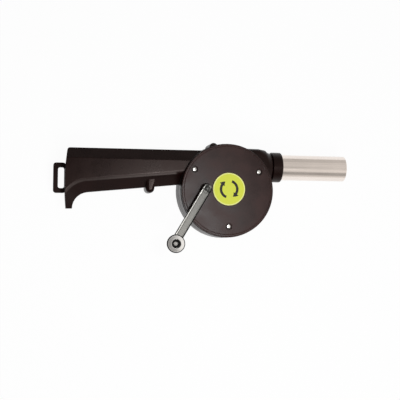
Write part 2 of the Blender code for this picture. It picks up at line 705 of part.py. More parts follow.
def make_front_housing(whole):
    front = bpy.data.objects.new("front_housing", whole.copy())
    bpy.context.scene.collection.objects.link(front)
    bm = bmesh.new()
    block(bm, (-1, -1, SPLIT_HEIGHT + SEAT_GAP / 2), (1, 1, 1))
    keep_inside(front, bm, "front_half")
    root = TUB_FLOOR - PARTITION / 2
    bm = bmesh.new()
    for place in cover_screw_places():
        rod(bm, place, COVER_BOSS_RADIUS, root, RIM_HEIGHT)
    rod(bm, CRANK_PLACE, CRANK_JOURNAL_RADIUS + RUN_GAP + BOSS_WALL, root,
        LOW_GEAR_TOP + SEAT_GAP / 2)
    rod(bm, idler_place(), IDLER_AXLE_RADIUS + BOSS_WALL, root, LOW_GEAR_FLOOR - SEAT_GAP)
    rod(bm, (0, 0), FAN_BUSH_FLANGE, CHAMBER_TOP - PARTITION / 2, root)
    join(front, bm, "tub_bosses")
    bm = bmesh.new()
    for place in cover_screw_places():
        rod(bm, place, SCREW_RADIUS + FIT_GAP, TUB_FLOOR, 2 * RIM_HEIGHT, SCREW_SIDES)
    rod(bm, CRANK_PLACE, CRANK_JOURNAL_RADIUS + RUN_GAP, TUB_FLOOR + SEAT_GAP, 2 * RIM_HEIGHT)
    rod(bm, idler_place(), IDLER_AXLE_RADIUS + FIT_GAP, TUB_FLOOR - AXLE_SEAT, 2 * RIM_HEIGHT)
    rod(bm, (0, 0), FAN_BORE_RADIUS, 0, 2 * RIM_HEIGHT)
    cut(front, bm, "tub_holes")


def make_gear_cover():
    radius = DRUM_RADIUS - COVER_INSET
    lip = TUB_RADIUS - SEAT_GAP
    bm = bmesh.new()
    turning(bm, [(0, COVER_FACE), (radius - COVER_CHAMFER, COVER_FACE),
                 (radius, COVER_FACE - COVER_CHAMFER), (radius, COVER_FLOOR), (lip, COVER_FLOOR),
                 (lip, COVER_FLOOR - COVER_LIP), (lip - COVER_LIP_WALL, COVER_FLOOR - COVER_LIP),
                 (lip - COVER_LIP_WALL, COVER_FLOOR), (0, COVER_FLOOR)], FINE)
    cover = finish(bm, "gear_cover", "cover_plastic")
    bm = bmesh.new()
    rod(bm, idler_place(), IDLER_AXLE_RADIUS + BOSS_WALL, HIGH_GEAR_TOP + SEAT_GAP,
        COVER_FLOOR + COVER_THICKNESS / 2)
    join(cover, bm, "idler_boss")
    bm = bmesh.new()
    rod(bm, LABEL_PLACE, LABEL_RADIUS + SEAT_GAP, COVER_FACE - LABEL_THICKNESS, 2 * COVER_FACE,
        ROUND)
    cut(cover, bm, "label_recess")
    bm = bmesh.new()
    rod(bm, idler_place(), IDLER_AXLE_RADIUS + FIT_GAP, HIGH_GEAR_TOP, COVER_FLOOR + AXLE_SEAT)
    cut(cover, bm, "idler_axle_hole")
    bm = bmesh.new()
    rod(bm, CRANK_PLACE, CRANK_BUSH_RADIUS + FIT_GAP, 0, 2 * COVER_FACE)
    cut(cover, bm, "crank_hole")
    bm = bmesh.new()
    shank = SCREW_RADIUS + FIT_GAP
    for place in cover_screw_places():
        turning(bm, [(0, 2 * COVER_FACE), (COVER_RECESS_RADIUS, 2 * COVER_FACE),
                     (COVER_RECESS_RADIUS, COVER_SCREW_SEAT), (shank, COVER_SCREW_SEAT),
                     (shank, 0), (0, 0)], SMALL, place)
    cut(cover, bm, "cover_screw_holes")
    bm = bmesh.new()
    rod(bm, LABEL_PLACE, LABEL_RADIUS, COVER_FACE - LABEL_THICKNESS + SEAT_GAP,
        COVER_FACE + SEAT_GAP, ROUND)
    finish(bm, "cover_label", "label")
    for number, place in enumerate(cover_screw_places(), 1):
        screw(f"cover_screw_{number}", place, COVER_SCREW_SEAT, COVER_SCREW_LENGTH, -1)


def make_nozzle():
    """The steel tube and the collar that the two housings hold by its flange."""
    start = NECK_END + SEAT_GAP
    seat = start + COLLAR_LENGTH - TUBE_SEAT
    end = start + COLLAR_LENGTH
    socket = TUBE_RADIUS + FIT_GAP
    outer = socket + COLLAR_WALL
    tail = COLLAR_FLANGE_RADIUS - COLLAR_FLANGE
    flange = start - COLLAR_TAIL
    lip = COLLAR_WALL * 0.75
    rounding = [(outer - lip + x, end - lip + z) for x, z in arc((0, 0), lip, pi / 2, 0, 3)]
    bm = bmesh.new()
    turning_x(bm, [(socket, end)] + rounding + [(outer, start), (tail, start),
                   (tail, flange + COLLAR_FLANGE), (COLLAR_FLANGE_RADIUS, flange + COLLAR_FLANGE),
                   (COLLAR_FLANGE_RADIUS, flange), (COLLAR_BORE, flange), (COLLAR_BORE, seat),
                   (socket, seat)], ROUND)
    finish(bm, "nozzle_collar", "black_plastic")
    bm = bmesh.new()
    near, far = seat + SEAT_GAP, seat + SEAT_GAP + TUBE_LENGTH
    inner = TUBE_RADIUS - TUBE_WALL
    turning_x(bm, [(TUBE_RADIUS, far), (TUBE_RADIUS, near), (inner, near), (inner, far)], ROUND)
    finish(bm, "nozzle_tube", "tube_steel")


def gear_outline(teeth, tip, middle_of_tooth):
    """Points round an involute gear. A tooth is centred on the angle middle_of_tooth."""
    pitch = MODULE * teeth / 2
    base = pitch * cos(PRESSURE_ANGLE)
    root = pitch - ROOT_DEPTH * MODULE
    crown = pitch + tip * MODULE
    half_tooth = (pi / 2 - BACKLASH / MODULE) / teeth
    shoulder = [base] if base - root > MODULE / 2 else []
    radii = [root] + shoulder + [pitch, crown]
    flank = []
    for radius in radii:
        lean = acos(min(1, base / radius))
        flank.append((radius, half_tooth + involute(PRESSURE_ANGLE) - involute(lean)))
    outline = []
    for tooth in range(teeth):
        turn = middle_of_tooth + 2 * pi * tooth / teeth
        outline += [on_circle(radius, turn - half) for radius, half in flank]
        outline += [on_circle(radius, turn + half) for radius, half in reversed(flank)]
    return outline


def involute(angle):
    return tan(angle) - angle


def d_outline(radius, flat, steps=SMALL):
    """A round with one flat side, as on a shaft that drives what it carries."""
    half = acos(flat / radius)
    return arc((0, 0), radius, half, 2 * pi - half, steps)


def gear_phases():
    """The angles that the gears' teeth are centred on, so that they mesh at rest."""
    idler = idler_place()
    to_idler = atan2(idler[1] - CRANK_PLACE[1], idler[0] - CRANK_PLACE[0])
    to_fan = atan2(-idler[1], -idler[0])
    half_pitch = pi / PINION_TEETH
    return {"crank": to_idler, "idler_pinion": to_idler + pi + half_pitch, "idler_wheel": to_fan,
            "fan": to_fan + pi + half_pitch}


def wheel(name, low, high, phase, parent):
    """A wheel with a thinner web between its rim and its hub."""
    bm = bmesh.new()
    prism(bm, gear_outline(WHEEL_TEETH, WHEEL_TIP, phase), low, high)
    piece = finish(bm, name, "gear_plastic", parent)
    rim = MODULE * (WHEEL_TEETH / 2 - ROOT_DEPTH) - 3 * MODULE
    hub = MODULE * PINION_TEETH * 0.75
    bm = bmesh.new()
    turning(bm, [(hub, high + WEB_DEPTH), (rim, high + WEB_DEPTH), (rim, high - WEB_DEPTH),
                 (hub, high - WEB_DEPTH)], SMALL + 8)
    cut(piece, bm, f"{name}_web")
    return piece


def make_gears(crank, idler, fan):
    phases = gear_phases()
    gear = wheel("crank_gear", HIGH_GEAR_FLOOR, HIGH_GEAR_TOP, phases["crank"], crank)
    bm = bmesh.new()
    rod(bm, (0, 0), CRANK_SHAFT_RADIUS + 2 * BOSS_WALL, HIGH_GEAR_FLOOR + WEB_DEPTH,
        COVER_FLOOR - SEAT_GAP)
    join(gear, bm, "crank_gear_hub")
    bm = bmesh.new()
    prism(bm, d_outline(CRANK_SHAFT_RADIUS + FIT_GAP, CRANK_FLAT + FIT_GAP), 0, 2 * COVER_FLOOR)
    cut(gear, bm, "crank_gear_bore")

    gear = wheel("idler_gear", LOW_GEAR_FLOOR, LOW_GEAR_TOP, phases["idler_wheel"], idler)
    bm = bmesh.new()
    prism(bm, gear_outline(PINION_TEETH, PINION_TIP, phases["idler_pinion"]),
          LOW_GEAR_TOP - WEB_DEPTH / 2, HIGH_GEAR_TOP)
    join(gear, bm, "idler_pinion")
    bm = bmesh.new()
    rod(bm, (0, 0), IDLER_AXLE_RADIUS + RUN_GAP, 0, 2 * COVER_FLOOR)
    cut(gear, bm, "idler_bore")

    bm = bmesh.new()
    prism(bm, gear_outline(PINION_TEETH, PINION_TIP, phases["fan"]), LOW_GEAR_FLOOR, LOW_GEAR_TOP)
    gear = finish(bm, "fan_pinion", "gear_plastic", fan)
    bm = bmesh.new()
    prism(bm, d_outline(FAN_SHAFT_RADIUS + FIT_GAP, FAN_FLAT + FIT_GAP), 0, 2 * COVER_FLOOR)
    cut(gear, bm, "fan_pinion_bore")


def flat_cutter(radius, flat, low, high):
    """What takes the flat off a shaft between two heights."""
    bm = bmesh.new()
    block(bm, (flat, -2 * radius, low), (3 * radius, 2 * radius, high))
    return bm


def make_crank_bearing():
    bm = bmesh.new()
    inner = CRANK_SHAFT_RADIUS + RUN_GAP
    step = COVER_FACE + SEAT_GAP
    half = CRANK_BUSH_HEIGHT / 2
    turning(bm, [(inner, CRANK_BUSH_TOP), (CRANK_BUSH_FLANGE - half, CRANK_BUSH_TOP),
                 (CRANK_BUSH_FLANGE, step + half), (CRANK_BUSH_FLANGE, step),
                 (CRANK_BUSH_RADIUS, step), (CRANK_BUSH_RADIUS, COVER_FLOOR), (inner, COVER_FLOOR)],
            SMALL + 8, CRANK_PLACE)
    finish(bm, "crank_bush", "black_plastic")


def make_crank(crank):
    """The shaft, the arm and what holds them together, about the crank's own axis."""
    journal = TUB_FLOOR + 2 * SEAT_GAP
    shoulder = LOW_GEAR_TOP + SEAT_GAP * 1.5
    gear_seat = HIGH_GEAR_FLOOR - SEAT_GAP
    end = ARM_HEIGHT + ARM_THICKNESS / 2
    thread = SCREW_RADIUS + FIT_GAP
    depth = end - CRANK_SCREW_BITE
    bm = bmesh.new()
    turning(bm, [(thread, end), (CRANK_SHAFT_RADIUS, end), (CRANK_SHAFT_RADIUS, gear_seat),
                 (CRANK_FLANGE_RADIUS, gear_seat), (CRANK_FLANGE_RADIUS, shoulder),
                 (CRANK_JOURNAL_RADIUS, shoulder), (CRANK_JOURNAL_RADIUS, journal), (0, journal),
                 (0, depth), (thread, depth)], SMALL)
    shaft = finish(bm, "crank_shaft", "shaft_steel", crank)
    cut(shaft, flat_cutter(CRANK_SHAFT_RADIUS, CRANK_FLAT, gear_seat, COVER_FLOOR - SEAT_GAP),
        "crank_shaft_gear_flat")
    cut(shaft, flat_cutter(CRANK_SHAFT_RADIUS, CRANK_FLAT, CRANK_BUSH_TOP + SEAT_GAP, 2 * end),
        "crank_shaft_arm_flat")

    bm = bmesh.new()
    ring(bm, (0, 0), CRANK_SHAFT_RADIUS + FIT_GAP, CRANK_BUSH_FLANGE - CRANK_BUSH_HEIGHT,
         CRANK_BUSH_TOP + SEAT_GAP, CRANK_WASHER_TOP)
    finish(bm, "crank_washer", "screw_steel", crank)
    make_arm(crank, CRANK_WASHER_TOP + SEAT_GAP, end)

    bm = bmesh.new()
    seat = ARM_TOP + SEAT_GAP
    head = CRANK_SCREW_HEAD
    turning(bm, [(0, seat + head * 0.4), (head * 0.6, seat + head * 0.32), (head, seat + head * 0.1),
                 (head, seat), (SCREW_RADIUS, seat), (SCREW_RADIUS, depth + SEAT_GAP * 3),
                 (0, depth + SEAT_GAP)], SCREW_SIDES)
    finish(bm, "crank_screw", "screw_steel", crank)


def ring(bm, place, inner, outer, low, high):
    turning(bm, [(inner, high), (outer, high), (outer, low), (inner, low)], SMALL, place)


def arm_outline(shrink, pad=0):
    """Two half rounds and straight sides: the arm seen from the front, made smaller by shrink,
    or its channel, whose ends leave a pad round each hole."""
    half = ARM_WIDTH / 2 - shrink
    start = pad + half if pad else 0
    return (arc((start, 0), half, pi / 2, 3 * pi / 2, 9)
            + arc((ARM_LENGTH - start, 0), half, -pi / 2, pi / 2, 9))


def make_arm(crank, hub_floor, shaft_end):
    bm = bmesh.new()
    loft(bm, [[(x, y, z) for x, y in arm_outline(shrink)]
              for z, shrink in ((ARM_HEIGHT, 0), (ARM_TOP - ARM_CHAMFER, 0), (ARM_TOP, ARM_CHAMFER))])
    arm = finish(bm, "crank_arm", "crank_metal", crank)
    arm.rotation_euler.z = ARM_ANGLE
    bm = bmesh.new()
    slope = ARM_CHANNEL_SLOPE / ARM_CHANNEL_DEPTH
    loft(bm, [[(x, y, ARM_TOP + rise) for x, y in arm_outline(ARM_RIB - slope * rise, ARM_PAD)]
              for rise in (ARM_CHANNEL_DEPTH, -ARM_CHANNEL_DEPTH)])
    cut(arm, bm, "crank_arm_channel")
    bm = bmesh.new()
    rod(bm, (0, 0), ARM_HUB_RADIUS, hub_floor, ARM_HEIGHT + ARM_THICKNESS / 4)
    join(arm, bm, "crank_arm_hub")
    bm = bmesh.new()
    outline = d_outline(CRANK_SHAFT_RADIUS + FIT_GAP, CRANK_FLAT + FIT_GAP)
    prism(bm, [turned(point, -ARM_ANGLE) for point in outline], 0, shaft_end + SEAT_GAP)
    cut(arm, bm, "crank_arm_bore")
    bm = bmesh.new()
    rod(bm, (0, 0), SCREW_RADIUS + FIT_GAP, 0, 2 * ARM_TOP, SCREW_SIDES)
    rod(bm, (ARM_LENGTH, 0), RIVET_RADIUS + FIT_GAP, 0, 2 * ARM_TOP, SCREW_SIDES)
    cut(arm, bm, "crank_arm_holes")


def turned(point, angle):
    x, y = point
    return (x * cos(angle) - y * sin(angle), x * sin(angle) + y * cos(angle))


def make_knob(crank, knob):
    place = on_circle(ARM_LENGTH, ARM_ANGLE)
    washer_top = ARM_TOP + SEAT_GAP + CRANK_WASHER
    floor = washer_top + SEAT_GAP
    top = floor + KNOB_HEIGHT
    well = top - KNOB_WELL_DEPTH
    bore = RIVET_RADIUS + RUN_GAP
    bm = bmesh.new()
    ring(bm, place, RIVET_RADIUS + FIT_GAP, KNOB_WAIST * 0.7, ARM_TOP + SEAT_GAP, washer_top)
    finish(bm, "knob_washer", "screw_steel", crank)

    bm = bmesh.new()
    edge = (KNOB_RADIUS - KNOB_EDGE, top - KNOB_DOME - KNOB_EDGE)
    turning(bm, [(KNOB_WELL_RADIUS, top)] + arc(edge, KNOB_EDGE, pi / 2, 0, 2)
            + [(KNOB_RADIUS, top - KNOB_HEAD), (KNOB_WAIST, top - KNOB_HEIGHT / 2 - KNOB_EDGE),
               (KNOB_WAIST, floor + KNOB_FOOT), (KNOB_FOOT_RADIUS, floor + KNOB_FOOT / 2),
               (KNOB_FOOT_RADIUS, floor), (bore, floor), (bore, well), (KNOB_WELL_RADIUS, well)],
            ROUND)
    finish(bm, "crank_knob", "crank_metal", knob)

    foot = ARM_HEIGHT - SEAT_GAP
    head = well + SEAT_GAP
    bm = bmesh.new()
    crown = head + RIVET_HEAD_HEIGHT
    turning(bm, [(0, crown), (RIVET_HEAD_RADIUS * 0.6, crown - RIVET_HEAD_HEIGHT * 0.15),
                 (RIVET_HEAD_RADIUS, head + RIVET_HEAD_HEIGHT * 0.3), (RIVET_HEAD_RADIUS, head),
                 (RIVET_RADIUS, head), (RIVET_RADIUS, foot), (RIVET_FOOT_RADIUS, foot),
                 (RIVET_FOOT_RADIUS * 0.7, foot - RIVET_HEAD_HEIGHT), (0, foot - RIVET_HEAD_HEIGHT)],
            SMALL, place)
    finish(bm, "knob_rivet", "screw_steel", crank)


def make_fan(fan):
    """The fan's shaft with its bushes, washers, clip and impeller."""
    inner = FAN_SHAFT_RADIUS + RUN_GAP
    outer = inner + FAN_BUSH_WALL
    low = FAN_BORE_FLOOR + SEAT_GAP
    step = FAN_HUB_HEIGHT + SEAT_GAP
    bm = bmesh.new()
    turning(bm, [(inner, step + FAN_BUSH_RIM), (FAN_BUSH_FLANGE, step + FAN_BUSH_RIM),
                 (FAN_BUSH_FLANGE, step), (outer, step), (outer, low), (inner, low)], SMALL)
    finish(bm, "fan_bush_rear", "bronze")
    washer_floor = step + FAN_BUSH_RIM + SEAT_GAP
    bm = bmesh.new()
    ring(bm, (0, 0), FAN_SHAFT_RADIUS + FIT_GAP, FAN_BUSH_FLANGE, washer_floor,
         washer_floor + FAN_BUSH_RIM)
    finish(bm, "fan_washer", "screw_steel", fan)

    step = TUB_FLOOR + SEAT_GAP
    foot = IMPELLER_TOP + 3 * SEAT_GAP
    flange = FAN_BUSH_FLANGE - SEAT_GAP
    bm = bmesh.new()
    turning(bm, [(inner, step + FAN_BUSH_RIM), (flange, step + FAN_BUSH_RIM), (flange, step),
                 (outer, step), (outer, foot), (inner, foot)], SMALL)
    finish(bm, "fan_bush_front", "bronze")

    clip_floor = LOW_GEAR_TOP + SEAT_GAP
    clip_top = clip_floor + FAN_BUSH_RIM
    high = clip_top + 2 * SEAT_GAP
    bm = bmesh.new()
    rod(bm, (0, 0), FAN_SHAFT_RADIUS, low, high)
    shaft = finish(bm, "fan_shaft", "shaft_steel", fan)
    cut(shaft, flat_cutter(FAN_SHAFT_RADIUS, FAN_FLAT, LOW_GEAR_FLOOR, 2 * high), "fan_gear_flat")
    cut(shaft, flat_cutter(FAN_SHAFT_RADIUS, FAN_FLAT, washer_floor + FAN_BUSH_RIM + SEAT_GAP,
                           IMPELLER_TOP), "fan_impeller_flat")
    bm = bmesh.new()
    ring(bm, (0, 0), FAN_SHAFT_RADIUS + FIT_GAP, FAN_BUSH_FLANGE * 0.85, clip_floor, clip_top)
    finish(bm, "fan_clip", "screw_steel", fan)
    make_impeller(fan, washer_floor + FAN_BUSH_RIM + SEAT_GAP)


def blade_outline(angle):
    """A blade that leans back as it goes out, as a strip of even thickness."""
    steps = 5
    sides = ([], [])
    for step in range(steps + 1):
        share = step / steps
        radius = IMPELLER_EYE + (IMPELLER_RADIUS - IMPELLER_EYE - BLADE_THICKNESS / 4) * share
        lean = angle + BLADE_SWEEP * share * share
        slope = atan2(2 * BLADE_SWEEP * share * radius, IMPELLER_RADIUS - IMPELLER_EYE)
        x, y = on_circle(radius, lean)
        across = lean + slope + pi / 2
        for side, sign in zip(sides, (1, -1)):
            side.append((x + sign * BLADE_THICKNESS / 2 * cos(across),
                         y + sign * BLADE_THICKNESS / 2 * sin(across)))
    return sides[0] + sides[1][::-1]


def make_impeller(fan, hub_floor):
    disc_floor = IMPELLER_TOP - IMPELLER_DISC
    bm = bmesh.new()
    turning(bm, [(0, IMPELLER_TOP), (IMPELLER_RADIUS, IMPELLER_TOP), (IMPELLER_RADIUS, disc_floor),
                 (IMPELLER_HUB_RADIUS, disc_floor), (IMPELLER_HUB_RADIUS, hub_floor),
                 (0, hub_floor)], ROUND)
    impeller = finish(bm, "impeller", "impeller_plastic", fan)
    bm = bmesh.new()
    for number in range(IMPELLER_BLADES):
        prism(bm, blade_outline(2 * pi * number / IMPELLER_BLADES), IMPELLER_BASE,
              disc_floor + IMPELLER_DISC / 2)
    join(impeller, bm, "impeller_blades")
    bm = bmesh.new()
    prism(bm, d_outline(FAN_SHAFT_RADIUS + FIT_GAP, FAN_FLAT + FIT_GAP), 0, 2 * IMPELLER_TOP)
    cut(impeller, bm, "impeller_bore")


def make_idler_axle():
    bm = bmesh.new()
    rod(bm, idler_place(), IDLER_AXLE_RADIUS, TUB_FLOOR - AXLE_SEAT + SEAT_GAP,
        COVER_FLOOR + AXLE_SEAT - SEAT_GAP)
    finish(bm, "idler_axle", "shaft_steel")


def make_housing_screws():
    for number, (place, _) in enumerate(housing_screw_places(), 1):
        screw(f"housing_screw_{number}", place, HOUSING_SCREW_SEAT, HOUSING_SCREW_LENGTH, 1)


def main():
    clear_scene()
    make_materials()
    crank = axis_empty("crank_axis", CRANK_PLACE)
    knob = axis_empty("knob_axis", on_circle(ARM_LENGTH, ARM_ANGLE), crank)
    idler = axis_empty("idler_axis", idler_place())
    fan = axis_empty("fan_axis", (0, 0))
    whole = housing_whole()
    make_rear_housing(whole)
    make_front_housing(whole)
    make_gear_cover()
    make_nozzle()
    make_housing_screws()
    make_crank_bearing()
    make_crank(crank)
    make_knob(crank, knob)
    make_gears(crank, idler, fan)
    make_idler_axle()
    make_fan(fan)


main()
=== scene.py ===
import json
from math import cos, hypot, pi, radians, sin

import bmesh
import bpy
from mathutils import Matrix, Vector


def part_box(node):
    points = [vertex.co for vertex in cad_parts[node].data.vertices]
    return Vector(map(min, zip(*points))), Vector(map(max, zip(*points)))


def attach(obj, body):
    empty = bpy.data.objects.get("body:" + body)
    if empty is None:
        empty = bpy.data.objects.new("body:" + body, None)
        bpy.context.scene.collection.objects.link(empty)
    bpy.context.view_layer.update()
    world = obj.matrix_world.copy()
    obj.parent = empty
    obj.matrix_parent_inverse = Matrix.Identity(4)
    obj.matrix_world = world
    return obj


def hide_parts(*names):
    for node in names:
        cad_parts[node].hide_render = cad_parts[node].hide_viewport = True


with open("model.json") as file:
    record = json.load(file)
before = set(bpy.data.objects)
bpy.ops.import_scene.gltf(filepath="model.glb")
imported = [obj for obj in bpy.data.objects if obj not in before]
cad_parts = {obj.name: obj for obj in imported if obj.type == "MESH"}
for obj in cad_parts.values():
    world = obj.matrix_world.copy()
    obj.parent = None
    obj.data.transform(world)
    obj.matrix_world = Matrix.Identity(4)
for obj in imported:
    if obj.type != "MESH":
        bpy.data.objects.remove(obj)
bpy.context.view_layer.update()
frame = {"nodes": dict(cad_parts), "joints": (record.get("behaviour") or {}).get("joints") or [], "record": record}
mm = 0.001
record = frame["record"]
bodyOf = {node: body for body, nodes in record["behaviour"]["bodies"].items() for node in nodes}
slotOf = {part["node"]: part["material_slot"] for part in record["subparts"]}
axisOf = {joint["name"]: Vector(joint["pos_m"]) for joint in frame["joints"]}
crankAt, knobAt, idlerAt = axisOf["crank_spin"], axisOf["knob_spin"], axisOf["idler_spin"]
print("frame loaded:", len(bodyOf), "nodes")


# Materials: sums on sockets are written as Python expressions

class Link:
    # one output of a node
    def __init__(self, nodes, socket):
        self.nodes, self.socket = nodes, socket

    def maths(self, operation, *others):
        return self.nodes.add("ShaderNodeMath", {"operation": operation}, (self, *others))

    def __add__(self, other):
        return self.maths("ADD", other)

    def __sub__(self, other):
        return self.maths("SUBTRACT", other)

    def __rsub__(self, other):
        return self.nodes.add("ShaderNodeMath", {"operation": "SUBTRACT"}, (other, self))

    def __mul__(self, other):
        return self.maths("MULTIPLY", other)

    def __truediv__(self, other):
        return self.maths("DIVIDE", other)

    __radd__ = __add__
    __rmul__ = __mul__


class Nodes:
    def __init__(self, owner):
        owner.use_nodes = True
        self.tree = owner.node_tree

    def add(self, kind, settings=None, sockets=(), out=0):
        node = self.tree.nodes.new(kind)
        for key, value in (settings or {}).items():
            setattr(node, key, value)
        pairs = sockets.items() if isinstance(sockets, dict) else enumerate(sockets)
        for key, value in pairs:
            if isinstance(value, Link):
                self.tree.links.new(value.socket, node.inputs[key])
            else:
                node.inputs[key].default_value = value
        return Link(self, node.outputs[out] if node.outputs else None)

    def parts(self, vector):
        # the X, Y and Z of a vector
        split = self.add("ShaderNodeSeparateXYZ", sockets=(vector,)).socket.node
        return [Link(self, output) for output in split.outputs]

    def length(self, x, y):
        return (x * x + y * y).maths("SQRT")

    def spread(self, value, low, high, toLow=0.0, toHigh=1.0):
        sockets = {0: value, 1: low, 2: high, 3: toLow, 4: toHigh}
        return self.add("ShaderNodeMapRange", {"interpolation_type": "SMOOTHSTEP"}, sockets)

    def past(self, value, edge, soft):
        # 0 below an edge and 1 above it, with a soft change between
        return self.spread(value, edge - soft, edge + soft)


class Finish(Nodes):
    def __init__(self, name, **fixed):
        self.material = bpy.data.materials.new(name)
        super().__init__(self.material)
        self.shader = self.tree.nodes["Principled BSDF"]
        for socket, value in fixed.items():
            self.shader.inputs[socket.replace("_", " ")].default_value = value
        self.place = self.add("ShaderNodeTexCoord", out="Object")

    def feed(self, socket, link):
        self.tree.links.new(link.socket, self.shader.inputs[socket])

    def around(self, centre):
        # X and Y, measured from a centre
        x, y, _ = self.parts(self.place)
        return x - centre[0], y - centre[1]

    def noise(self, scale, detail=2.0, stretch=None):
        place = self.place
        if stretch:
            place = self.add("ShaderNodeMapping", sockets={"Vector": place, "Scale": stretch})
        sockets = {"Vector": place, "Scale": scale, "Detail": detail}
        return self.add("ShaderNodeTexNoise", sockets=sockets)

    def mix(self, factor, one, two):
        sockets = {0: factor, 6: one, 7: two}
        return self.add("ShaderNodeMix", {"data_type": "RGBA"}, sockets, out=2)

    def bump(self, height, strength, distance):
        sockets = {"Height": height, "Strength": strength, "Distance": distance}
        self.feed("Normal", self.add("ShaderNodeBump", sockets=sockets))


def shade(colour, factor):
    return (*(channel * factor for channel in colour), 1)


black = (0, 0, 0, 1)


def plastic(name, colour, roughness, grain, specular=0.5, cloud=0.25, tint=(1, 1, 1, 1), paintedHighlight=None):
    # moulded plastic: a fine etched grain, with slow changes of tone and gloss, and a painted highlight band where
    # one is given
    finish = Finish(name, Specular_IOR_Level=specular, Specular_Tint=tint)
    slow, fine = finish.noise(55, 3), finish.noise(1400, 2)
    tone = finish.spread(slow * 0.6 + fine * 0.4, 0.35, 0.65)
    base = finish.mix(tone, shade(colour, 1 - cloud), shade(colour, 1 + cloud))
    # painted highlight: where a mask is given, a lighter band is mixed into the base colour
    if paintedHighlight:
        base = finish.mix(paintedHighlight(finish), base, paintedCreaseLook["colour"])
    finish.feed("Base Color", base)
    gloss = finish.spread(slow + fine * 0.5, 0.5, 1.0, roughness - 0.05, roughness + 0.06)
    finish.feed("Roughness", gloss)
    finish.bump(finish.noise(2600, 3) * 0.6 + finish.noise(900, 2) * 0.4, grain, 0.06 * mm)
    return finish.material


def metal(name, colour, roughness, grain, stretch=None, speckle=0.1, scale=1200):
    # metal with fine marks, which run along the axis that stretch makes small
    finish = Finish(name, Metallic=1.0)
    marks, slow = finish.noise(scale, 4, stretch), finish.noise(60, 2)
    tone = finish.spread(marks * 0.7 + slow * 0.3, 0.36, 0.64)
    finish.feed("Base Color", finish.mix(tone, shade(colour, 1 - speckle), shade(colour, 1 + speckle)))
    finish.feed("Roughness", finish.spread(marks + slow, 0.7, 1.3, roughness - 0.05, roughness + 0.07))
    finish.bump(marks, grain, 0.05 * mm)
    return finish.material


labelLook = {"centre": (1.2 * mm, 1.2 * mm), "rim": 14.5 * mm, "rimBlend": 0.25 * mm, "soft": 0.05 * mm,
             "arrowRadius": 8.0 * mm, "shaft": 1.25 * mm, "head": 3.0 * mm, "headShare": 0.17,
             "arrowShare": 0.74, "turn": 0.35, "film": ((0.66, 0.72, 0.055, 1), (0.74, 0.77, 0.085, 1)),
             "rimColour": (0.86, 0.87, 0.30, 1), "arrowColour": (0.018, 0.016, 0.012, 1)}


def labelFilm():
    # yellow-green film with a pale rim and two black arrows that show which way to turn the crank
    finish, look = Finish("labelFilm", Roughness=0.45, Specular_IOR_Level=0.2), labelLook
    x, y = finish.around(look["centre"])
    radius = finish.length(x, y)
    along = (y.maths("ARCTAN2", x) / pi + look["turn"]).maths("FRACT")
    isHead = along.maths("LESS_THAN", look["headShare"])
    half = isHead * along * (look["head"] / look["headShare"]) + (1 - isHead) * look["shaft"]
    inside = finish.past(half - (radius - look["arrowRadius"]).maths("ABSOLUTE"), 0, look["soft"])
    arrow = inside * along.maths("LESS_THAN", look["arrowShare"])
    rim = finish.spread(radius, look["rim"], look["rim"] + look["rimBlend"])
    rimmed = finish.mix(rim, finish.mix(finish.noise(420, 3), *look["film"]), look["rimColour"])
    finish.feed("Base Color", finish.mix(arrow, rimmed, look["arrowColour"]))
    finish.bump(finish.noise(700, 3), 0.1, 0.04 * mm)
    return finish.material


# the arm's painted edge shade, rib highlight and groove shade lie at these distances to the left of the line from
# crank to knob
armLook = {"edgeLeft": 3.65 * mm, "ribInner": 2.75 * mm, "flatLeft": 1.95 * mm, "edgeRight": -3.2 * mm,
           "soft": 0.12 * mm, "hub": 5.5 * mm, "hubBlend": 1 * mm, "length": 60 * mm, "cast": (0.11, 0.25),
           "paintedLightByLength": (0.88, 1.2), "groove": 0.55, "rib": 0.20, "least": 0.012, "hubDarkening": 0.8,
           "colour": (1, 0.985, 0.93, 1)}


def armMetal():
    # cast flat between edges with painted shade, with a painted highlight on the left rib and painted shade on the
    # groove beside it; the flat carries a painted highlight that grows towards the knob, and darker mottled
    # patches round the hub
    finish, look, soft = Finish("armMetal", Metallic=1.0), armLook, armLook["soft"]
    along = (knobAt - crankAt).normalized()
    x, y = finish.around(crankAt)
    offset, reach = x * along.y - y * along.x, finish.length(x, y)
    fine, slow = finish.noise(1100, 3), finish.noise(420, 2)
    # painted shade: outside the two edges the tone falls to least
    inside = (finish.past(offset, look["edgeRight"], soft)
              * (1 - finish.past(offset, look["edgeLeft"], soft)))
    # painted highlight on the left rib, and painted shade on the groove line beside it
    rib = finish.past(offset, look["ribInner"], soft)
    groove = finish.past(offset, look["flatLeft"], soft) * (1 - rib)
    # cast speckle, with a painted highlight that grows towards the knob
    cast = (finish.spread(fine, 0.3, 0.7, *look["cast"])
            * finish.spread(reach, 0, look["length"], *look["paintedLightByLength"]))
    tone = (cast * (1 - groove * look["groove"]) + rib * look["rib"]) * inside + look["least"]
    # darker in mottled patches round the hub
    hub = 1 - finish.spread(reach, look["hub"] - look["hubBlend"], look["hub"])
    hubPatches = hub * finish.spread(slow, 0.40, 0.60)
    finish.feed("Base Color", finish.mix(tone * (1 - hubPatches * look["hubDarkening"]), black, look["colour"]))
    finish.feed("Roughness", finish.spread(fine, 0.3, 0.7, 0.48, 0.62) - rib * 0.15)
    finish.bump(fine, 0.5, 0.05 * mm)
    return finish.material


knobLook = {"well": 4.25 * mm, "rim": 7.75 * mm, "soft": 0.15 * mm, "crown": (0.74, 0.94), "least": 0.015,
            "colour": (1, 0.99, 0.97, 1)}


